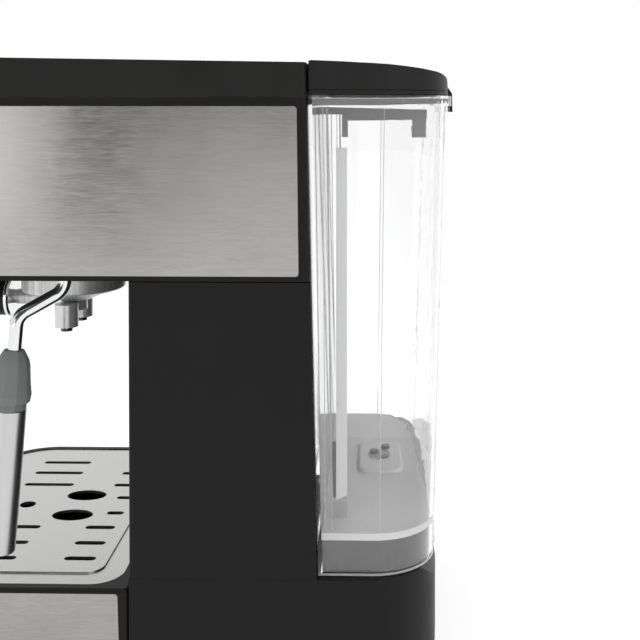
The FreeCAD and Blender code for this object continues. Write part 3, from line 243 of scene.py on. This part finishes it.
FINISHES = {
    "black_plastic": moulded("black_plastic", (0.0086, 0.0086, 0.0084), 0.46, Specular_IOR_Level=0.16),
    "gloss_black": moulded("gloss_black", (0.009, 0.009, 0.0095), 0.16, 900.0, 0.02, 0.0005, Coat_Weight=0.5),
    "steel_band": brushed("steel_band", (0.39, 0.375, 0.36), 0.2, "XY", 2300.0, 150.0, vary=0.14,
                          edge=0.0003, cloudy=0.3),
    "steel_plate": brushed("steel_plate", (0.55, 0.55, 0.545), 0.3, "Y", edge=0.0003, vary=0.04, cloudy=0.5),
    "steel_screws": brushed("steel_screws", (0.45, 0.45, 0.46), 0.3, "X", 900.0),
    "chrome": polished("chrome", (0.78, 0.785, 0.79), 0.05),
    "clear_plastic": clear_plastic("clear_plastic"),
    "grey_rubber": moulded("grey_rubber", (0.185, 0.19, 0.19), 0.55, 1500.0, 0.2, 0.0005, 0.1),
    "black_rubber": moulded("black_rubber", (0.018, 0.018, 0.018), 0.7, 1500.0, 0.25, 0.0005),
    "brass": polished("brass", (0.62, 0.46, 0.2), 0.22),
    "cast_alloy": cast_metal("cast_alloy", (0.55, 0.55, 0.56), 0.45),
    "silicone": moulded("silicone", (0.72, 0.72, 0.69), 0.42, 700.0, 0.06, 0.0004, 0.05,
                        Transmission_Weight=0.25),
    "button_grey": brushed("button_grey", (0.5, 0.5, 0.5), 0.3, "X", 1600.0, 60.0, edge=0.0004),
    "lamp_lens": moulded("lamp_lens", (0.72, 0.76, 0.8), 0.15, 500.0, 0.03, 0.0002, 0.05,
                         Transmission_Weight=0.5),
    "board_green": moulded("board_green", (0.02, 0.12, 0.05), 0.4, 600.0, 0.1, 0.0003),
    "coil_dark": moulded("coil_dark", (0.05, 0.03, 0.02), 0.45, 700.0, 0.2, 0.0005),
}
SPECIAL = {
    "top_cover": moulded("cover_plastic", (0.0125, 0.0125, 0.012), 0.48, Specular_IOR_Level=0.2),
    "tank_lid": moulded("lid_plastic", (0.0135, 0.0135, 0.0132), 0.44, Specular_IOR_Level=0.22),
    "portafilter_body": brushed("satin_cup", (0.62, 0.62, 0.622), 0.34, "Z", 380.0, 16.0, edge=0.0004,
                                vary=0.3, metallic=0.5),
    "spout": brushed("satin_spout", (0.8, 0.8, 0.805), 0.3, "Z", 700.0, 30.0, edge=0.0005, metallic=0.5),
    # the tray band is the same steel as the upper band, here given a darker copy of its colour: painted shade
    "tray_band": brushed("steel_tray_band_painted_shade", (0.345, 0.335, 0.32), 0.24, "XY", 2300.0, 150.0, vary=0.12,
                         cloudy=0.3),
    "wand_sleeve": brushed("steel_sleeve", (0.56, 0.56, 0.565), 0.3, "Z", 1500.0, 20.0, vary=0.05),
}


def dress_frame():
    """Give every CAD node the finish of its material slot, or its own variant of it."""
    for name, item in frame["nodes"].items():
        finish = SPECIAL.get(name, FINISHES[SLOT_OF[name]])
        if not item.material_slots:
            item.data.materials.append(finish)
        for held in item.material_slots:
            held.material = finish


dress_frame()


# ---------------------------------------------------------------- extra pieces

def make_piece(name, points, faces, finish, body, slot_name, smooth=False):
    """Mesh piece that rides on a CAD body; points are in metres."""
    mesh = bpy.data.meshes.new(name)
    mesh.from_pydata(points, [], faces)
    built = bmesh.new()
    built.from_mesh(mesh)
    bmesh.ops.recalc_face_normals(built, faces=built.faces)
    for face in built.faces:
        face.smooth = smooth
    built.to_mesh(mesh)
    built.free()
    mesh.materials.append(finish)
    item = bpy.data.objects.new(name, mesh)
    bpy.context.scene.collection.objects.link(item)
    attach(item, body)
    return item


def rings_to_mesh(rings):
    """Points and faces of a tube through closed rings of equal count, closed at both ends."""
    count = len(rings[0])
    points = [tuple(point) for ring in rings for point in ring]
    faces = []
    for level in range(len(rings) - 1):
        for index in range(count):
            after = (index + 1) % count
            low, high = level * count, (level + 1) * count
            faces.append((low + index, low + after, high + after, high + index))
    faces.append(tuple(range(count)))
    faces.append(tuple(range((len(rings) - 1) * count, len(rings) * count)))
    return points, faces


def prism(outline, low, high, plane="XY"):
    """Outline in millimetres, raised between two levels along the axis that its plane leaves out."""
    def spot(first, second, level):
        place = {"XY": (first, second, level), "YZ": (level, first, second)}[plane]
        return tuple(value * MM for value in place)
    return rings_to_mesh([[spot(u, v, level) for u, v in outline] for level in (low, high)])


def rounded_outline(left, right, near, far, radius, steps=8):
    """Rounded rectangle."""
    corners = [(right - radius, far - radius, 0), (left + radius, far - radius, 90),
               (left + radius, near + radius, 180), (right - radius, near + radius, 270)]
    outline = []
    for x, y, start in corners:
        for step in range(steps + 1):
            angle = math.radians(start + 90 * step / steps)
            outline.append((x + radius * math.cos(angle), y + radius * math.sin(angle)))
    return outline


def round_outline(x, y, radius, steps=32, squeeze=1.0):
    """Circle, or an oval narrower along Y."""
    turns = [math.tau * step / steps for step in range(steps)]
    return [(x + radius * math.cos(turn), y + squeeze * radius * math.sin(turn)) for turn in turns]


def quarter(x, y, radius, start, steps=12):
    """Quarter circle that starts at an angle in degrees, in the direction of growing angle."""
    turns = [math.radians(start + 90 * step / steps) for step in range(steps + 1)]
    return [(x + radius * math.cos(turn), y + radius * math.sin(turn)) for turn in turns]


def tank_outline(inset, level):
    """Plan of the tank's wall at a height: flat front, round rear corners, bowed back."""
    rise = (level - TANK_LOW) / TANK_WALL_HEIGHT
    half = 100.5 - 2.0 * rise - inset
    front = 114.8 - 5.3 * rise + inset
    side = 175.6 + 6.4 * rise - inset
    centre = 179.3 + 6.3 * rise - inset
    corner = 33.0 - inset
    inner = half - corner
    bowed = [inner * (1 - step / 6) for step in range(1, 12)]
    return ([(-half, front), (half, front)]
            + quarter(inner, side - corner, corner, 0)
            + [(x, centre - (centre - side) * (x / inner) ** 2) for x in bowed]
            + quarter(-inner, side - corner, corner, 90))


def tank_plastic(name, level, clearness=0.0, vary=0.04, edge=0.0):
    """Grey or frosted plastic inside the tank; clearness is the share of light that passes."""
    return moulded(f"tank_{name}", (level, level, level), 0.4, 900.0, 0.03, edge, vary,
                   Transmission_Weight=clearness)


FROST = tank_plastic("frost", 0.95)
SHELF_GREY = tank_plastic("shelf_grey", 0.88)
PAD_FROST = tank_plastic("pad_frost", 0.92, edge=0.0006)
DISC_GREY = tank_plastic("disc_grey", 0.5)
PIP_DARK = tank_plastic("pip_dark", 0.13, edge=0.0004)
GUIDE_WHITE = tank_plastic("guide_white", 0.97)
INSERT_GREY = tank_plastic("insert_grey", 0.15, vary=0.2, edge=0.0004)
BOX_GREY = tank_plastic("box_grey", 0.7, 0.3)
FRAME_SMOKE = tank_plastic("frame_smoke", 0.4, 0.6, edge=0.0004)
LINE_GREY = tank_plastic("line_grey", 0.6, 0.3, 0.1)
SEAM_GREY = tank_plastic("seam_grey", 0.85, 0.4)
EDGE_PALE = tank_plastic("edge_pale", 0.97)
# frosted skirt lining; its dark grey is painted shade for the black pedestal seen through the skirt
SKIRT_FROST_PAINTED_SHADE = tank_plastic("skirt_frost_painted_shade", 0.2, 0.3, 0.3)
# grey flange band: painted shade for the dark lid rim seen through the clear flange
FLANGE_PAINTED_SHADE = tank_plastic("flange_painted_shade", 0.3, 0.4)
RIM_PALE = tank_plastic("rim_pale", 0.95, 0.4)


def tank_piece(name, shape, finish, smooth=False):
    """Piece inside the tank from its points and faces."""
    return make_piece(name, *shape, finish, "tank", "clear_plastic", smooth)


def upright_strip(name, x, thick, low, high, finish):
    """Thin upright rib: low and high are (near Y, far Y, Z) of its two ends."""
    outline = [(low[0], low[2]), (low[1], low[2]), (high[1], high[2]), (high[0], high[2])]
    tank_piece(name, prism(outline, x - thick, x, "YZ"), finish)


def tank_band(name, levels, insets, finish):
    """Closed band round the tank between two levels, from one inset of its outline to another."""
    low, high = levels
    outer, inner = insets
    loops = [[(x * MM, y * MM, level * MM) for x, y in tank_outline(inset, level)]
             for level, inset in ((low, outer), (high, outer), (high, inner), (low, inner))]
    count = len(loops[0])
    points = [point for loop in loops for point in loop]
    faces = []
    for side in range(4):
        here, there = side * count, (side + 1) % 4 * count
        faces += [(here + index, here + (index + 1) % count, there + (index + 1) % count, there + index)
                  for index in range(count)]
    tank_piece(name, (points, faces), finish)


def dress_tank_floor():
    """Frosted floor with its greyer near part, the pad over the valve, and the valve's cover and pips."""
    bare, set_back, fade = 2.3, 5.0, 60.0
    floor = [(x, y - set_back * min(1, max(0, (fade - x) / fade)) if y > 150 else y)
             for x, y in tank_outline(bare, 86)]
    tank_piece("tank_floor_frost", prism(floor, TANK_FLOOR + 0.02, TANK_FLOOR + 0.1), FROST)
    shelf_end = -47
    shelf = [(x, y) for x, y in floor if x > shelf_end]
    shelf = [(shelf_end, shelf[0][1])] + shelf + [(shelf_end, shelf[-1][1])]
    tank_piece("tank_floor_shelf", prism(shelf, TANK_FLOOR + 0.08, TANK_FLOOR + 0.2), SHELF_GREY)
    pad = [[(x * MM, y * MM, (TANK_FLOOR + height) * MM) for x, y in
            rounded_outline(VALVE.x - 25 + grow, VALVE.x + 26 - grow,
                            VALVE.y - 13.5 + grow, VALVE.y + 14.4 - grow, 7 - grow)]
           for grow, height in ((0, 0.1), (0, 1.2), (0.8, 2.1), (2, 2.3))]
    tank_piece("tank_floor_pad", rings_to_mesh(pad), PAD_FROST, True)
    cover = round_outline(VALVE.x, VALVE.y - 0.2, 9, squeeze=0.8)
    tank_piece("tank_valve_cover", prism(cover, TANK_FLOOR + 2.2, TANK_FLOOR + 2.5), DISC_GREY)
    for name, aside, back, height in (("tank_pip_near", -3, -3.4, 4), ("tank_pip_far", -11.5, 4, 4),
                                      ("tank_pip_side", 4.4, 3.4, 2.8)):
        pip = round_outline(VALVE.x + aside, VALVE.y + back, 2.7, 20)
        tank_piece(name, prism(pip, TANK_FLOOR + 2.4, TANK_FLOOR + height), PIP_DARK)


def dress_tank_guide():
    """White guide channel at the front with its dark insert and grey foot."""
    near, far, foot_near = 123.3, 129.1, 121.7
    guide = [(near, 95.6), (far, 98.6), (far, 283), (near, 283)]
    tank_piece("tank_guide", prism(guide, 78, 80, "YZ"), GUIDE_WHITE)
    face, thick, foot, knee = 79.5, 1.5, TANK_FLOOR + 0.2, 97
    upright_strip("tank_guide_side", face, thick, (foot_near, 124.6, knee), (120.9, 124.6, 126.5), INSERT_GREY)
    upright_strip("tank_guide_foot", face, thick, (foot_near, far, foot), (foot_near, far, knee), BOX_GREY)


def dress_tank_frame():
    """Smoked frame that hangs under the rim in the middle plane."""
    leg_end, bar_low = 286.2, 296.2
    outline = [(111.9, 304.5), (177.5, 302.9), (177.5, 285.9), (167.2, leg_end), (167.1, 296.6),
               (127.5, bar_low), (127.5, leg_end), (123.9, leg_end), (123.9, 300), (111.9, 300)]
    tank_piece("tank_hanging_frame", prism(outline, -1.5, 1.5, "YZ"), FRAME_SMOKE)


def dress_tank_walls():
    """Frosted skirt lining darkened with painted shade, a flange band of painted shade, pale edges, and the
    mould lines on both side walls.
    """
    # skirt lining: frosted, with painted shade for the black pedestal behind it
    tank_band("tank_skirt_lining_painted_shade", (66, 83.8), (2.4, 2.7), SKIRT_FROST_PAINTED_SHADE)
    tank_band("tank_floor_edge", (82.4, 86.1), (2.05, 2.3), EDGE_PALE)
    tank_band("tank_foot_rim", (64.85, 65.8), (-0.03, 1.2), RIM_PALE)
    # flange band: painted shade for the dark lid rim seen through the flange
    tank_band("tank_flange_painted_shade", (306.4, 309.0), (2.2, 2.5), FLANGE_PAINTED_SHADE)
    wall, line = 96.2, 0.4
    foot, top = TANK_FLOOR + 0.3, TANK_RIM
    lines = [("line_front", line, (115.9, 116.4), (112.9, 113.4), LINE_GREY),
             ("line_middle", line, (118.1, 118.6), (116.9, 117.3), SEAM_GREY),
             ("line_rear", line, (121.4, 122.3), (118.8, 119.7), LINE_GREY),
             ("seam", 0.3, (146.1, 146.5), (148.4, 148.8), SEAM_GREY)]
    for side, edge in (("right", wall), ("left", line - wall)):
        for name, thick, low, high, finish in lines:
            upright_strip(f"tank_{name}_{side}", edge, thick, (*low, foot), (*high, top), finish)


def wand_line():
    """Low end of the wand's sleeve and the direction up along it, in millimetres."""
    low, high = (Vector(corner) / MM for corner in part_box("wand_sleeve"))
    radius, tilt_rise = 8.65, 0.75
    foot = Vector((high.x - radius, low.y + radius, low.z + tilt_rise))
    head = Vector((low.x + radius, high.y - radius, high.z - tilt_rise))
    return foot, (head - foot).normalized()


def facet_grip():
    """Rubber grip with flat facets in place of the plain turned one."""
    foot, along = wand_line()
    side = along.cross(Vector((0, 1, 0))).normalized()
    across = along.cross(side)
    profile = [(71.0, 8.4), (77.6, 8.45), (77.7, 10.1), (81.6, 10.55), (86.6, 9.75),
               (94.1, 9.0), (96.6, 8.78), (99.2, 8.1), (101.7, 6.85), (104.55, 5.2)]
    facets = 10
    corners = ((0.06, 0.995), (0.5, 0.962), (0.94, 0.995))
    rings = []
    for height, radius in profile:
        centre = foot + along * height
        ring = []
        for facet in range(facets):
            for share, reach in corners:
                angle = math.tau * (facet + share) / facets
                outwards = side * math.cos(angle) + across * math.sin(angle)
                ring.append((centre + outwards * radius * reach) * MM)
        rings.append(ring)
    rubber = FINISHES["grey_rubber"]
    item = make_piece("wand_grip_facets", *rings_to_mesh(rings), rubber, "wand", "grey_rubber")
    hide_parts("wand_grip")


def knob_ribs():
    """Grip ribs round the steam knob and a mark on its face."""
    low, high = (Vector(corner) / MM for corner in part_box("steam_knob"))
    x, _, z = centre_of("steam_knob")
    ribs, root, crest = 36, 16.0, 17.35
    points, faces = [], []
    for rib in range(ribs):
        middle = math.tau * rib / ribs
        outline = []
        for turn, reach in ((-0.045, root), (-0.03, crest), (0.03, crest), (0.045, root)):
            outline.append((x + reach * math.cos(middle + turn), z + reach * math.sin(middle + turn)))
        made, sides = rings_to_mesh([[(u * MM, level * MM, v * MM) for u, v in outline]
                                     for level in (low.y + 5, high.y - 1.2)])
        faces += [tuple(index + len(points) for index in side) for side in sides]
        points += made
    make_piece("knob_ribs", points, faces, FINISHES["black_plastic"], "knob", "black_plastic")
    mark = rounded_outline(x - 0.8, x + 0.8, z + 5, z + 12.5, 0.7, 4)
    points, faces = rings_to_mesh([[(u * MM, level * MM, v * MM) for u, v in mark]
                                   for level in (low.y - 0.15, low.y + 0.5)])
    make_piece("knob_mark", points, faces, FINISHES["button_grey"], "knob", "button_grey")


dress_tank_floor()
dress_tank_guide()
dress_tank_frame()
dress_tank_walls()
facet_grip()
knob_ribs()


# ---------------------------------------------------------------- studio

def stage_sheet(name, corners, paint):
    """Flat four-cornered piece of the studio."""
    mesh = bpy.data.meshes.new(name)
    mesh.from_pydata(corners, [], [(0, 1, 2, 3)])
    mesh.materials.append(paint)
    sheet = bpy.data.objects.new(name, mesh)
    bpy.context.scene.collection.objects.link(sheet)
    return sheet


def make_floor():
    """Plain white floor, lifted by a little light of its own."""
    reach = 6.0
    corners = [(-reach, -reach, 0), (reach, -reach, 0), (reach, reach, 0), (-reach, reach, 0)]
    paint = new_material("floor_paint", (0.35, 0.35, 0.35), 0.9, Specular_IOR_Level=0.0,
                         Emission_Color=(1.0, 1.0, 1.0, 1.0), Emission_Strength=0.76)
    stage_sheet("floor", corners, paint)


def make_flag():
    """Dark upright card off to the wand's side, which the steel band mirrors as a soft dark stretch."""
    distance, near, far, height = 2.0, -0.65, -0.44, 0.6
    corners = [(distance, near, 0), (distance, far, 0), (distance, far, height), (distance, near, height)]
    cloth = new_material("flag_cloth", (0.02, 0.02, 0.02), 0.9, Specular_IOR_Level=0.0)
    stage_sheet("studio_flag", corners, cloth).visible_camera = False


def ramp_of(tree, value, stops, low, high):
    """Grey ramp over a value between two ends."""
    share = tree.nodes.new("ShaderNodeMapRange")
    share.inputs["From Min"].default_value = low
    share.inputs["From Max"].default_value = high
    tree.links.new(value, share.inputs["Value"])
    ramp = tree.nodes.new("ShaderNodeValToRGB")
    ramp.color_ramp.interpolation = "EASE"
    while len(ramp.color_ramp.elements) < len(stops):
        ramp.color_ramp.elements.new(0.5)
    for element, (where, level) in zip(ramp.color_ramp.elements, stops):
        element.position = (where - low) / (high - low)
        element.color = (level, level, level, 1.0)
    tree.links.new(share.outputs["Result"], ramp.inputs["Fac"])
    return ramp.outputs["Color"]


def mixed_colour(tree, factor, first, second, kind="MIX"):
    """Two colours or greys mixed by a factor."""
    mix = tree.nodes.new("ShaderNodeMix")
    mix.data_type = "RGBA"
    mix.blend_type = kind
    for socket, value in ((mix.inputs[0], factor), (mix.inputs[6], first), (mix.inputs[7], second)):
        if isinstance(value, float):
            socket.default_value = value if socket == mix.inputs[0] else (value, value, value, 1.0)
        else:
            tree.links.new(value, socket)
    return mix.outputs[2]


def make_world():
    """White surround with a dimmer wall on the wand's side, for the metal to mirror."""
    world = bpy.data.worlds.new("studio")
    bpy.context.scene.world = world
    world.use_nodes = True
    tree = world.node_tree
    place = tree.nodes.new("ShaderNodeTexCoord")
    split = tree.nodes.new("ShaderNodeSeparateXYZ")
    tree.links.new(place.outputs["Generated"], split.inputs["Vector"])
    bearing = tree.nodes.new("ShaderNodeMath")
    bearing.operation = "ARCTAN2"
    tree.links.new(split.outputs["Y"], bearing.inputs[0])
    tree.links.new(split.outputs["X"], bearing.inputs[1])
    turn = [(math.radians(degrees), level) for degrees, level in
            ((-180, 1.0), (-60, 1.0), (-24, 0.95), (-18.5, 0.95), (-15.6, 0.4), (-13.8, 0.5), (-10, 0.75),
             (-3, 0.78), (40, 0.8), (180, 1.0))]
    level = ramp_of(tree, bearing.outputs["Value"], turn, -math.pi, math.pi)
    wall = [(math.radians(degrees), share) for degrees, share in
            ((-180, 0.0), (-60, 0.0), (-38, 1.0), (58, 1.0), (80, 0.0), (180, 0.0))]
    side = ramp_of(tree, bearing.outputs["Value"], wall, -math.pi, math.pi)
    tall = ramp_of(tree, split.outputs["Z"], [(0.0, 0.0), (0.025, 0.0), (0.05, 1.0), (0.62, 1.0), (0.8, 0.0),
                                               (1.0, 0.0)], 0.0, 1.0)
    dim = mixed_colour(tree, 1.0, side, tall, "MULTIPLY")
    shaded = mixed_colour(tree, dim, level, 0.08)
    rays = tree.nodes.new("ShaderNodeLightPath")
    plain = tree.nodes.new("ShaderNodeMath")
    plain.operation = "MAXIMUM"
    tree.links.new(rays.outputs["Is Camera Ray"], plain.inputs[0])
    tree.links.new(rays.outputs["Is Transmission Ray"], plain.inputs[1])
    background = tree.nodes["Background"]
    tree.links.new(mixed_colour(tree, plain.outputs["Value"], shaded, 1.0), background.inputs["Color"])
    background.inputs["Strength"].default_value = 1.0


def make_light(name, place, target, width, height, power):
    """Soft rectangular light aimed at a target; the camera does not see it."""
    lamp = bpy.data.lights.new(name, "AREA")
    lamp.shape = "RECTANGLE"
    lamp.size = width
    lamp.size_y = height
    lamp.energy = power
    item = bpy.data.objects.new(name, lamp)
    item.location = place
    item.rotation_euler = (Vector(target) - Vector(place)).to_track_quat("-Z", "Y").to_euler()
    item.visible_camera = False
    bpy.context.scene.collection.objects.link(item)


def make_camera():
    """Side view, level with the top of the body, framed to the right-hand rear part."""
    data = bpy.data.cameras.new("camera")
    data.sensor_width = 36.0
    data.lens = 55.24
    data.shift_x = -0.050
    data.shift_y = -0.309
    item = bpy.data.objects.new("camera", data)
    item.location = (0.59865, 0.143, 0.3049)
    yaw, down = math.radians(1.2457), math.radians(0.928)
    look = Vector((-math.cos(yaw) * math.cos(down), -math.sin(yaw) * math.cos(down), -math.sin(down)))
    item.rotation_euler = look.to_track_quat("-Z", "Y").to_euler()
    bpy.context.scene.collection.objects.link(item)
    bpy.context.scene.camera = item


make_floor()
make_flag()
make_world()
make_light("top_softbox", (0.1, -0.1, 1.5), (0.0, 0.0, 0.2), 1.2, 1.2, 9.0)
make_light("front_softbox", (2.0, -1.15, 0.35), (0.1, -0.1, 0.27), 0.9, 0.9, 2.7)
make_light("side_softbox", (1.5, 0.9, 0.9), (0.0, 0.05, 0.2), 0.9, 1.2, 5.0)
make_camera()
bpy.context.scene.view_settings.view_transform = "Standard"
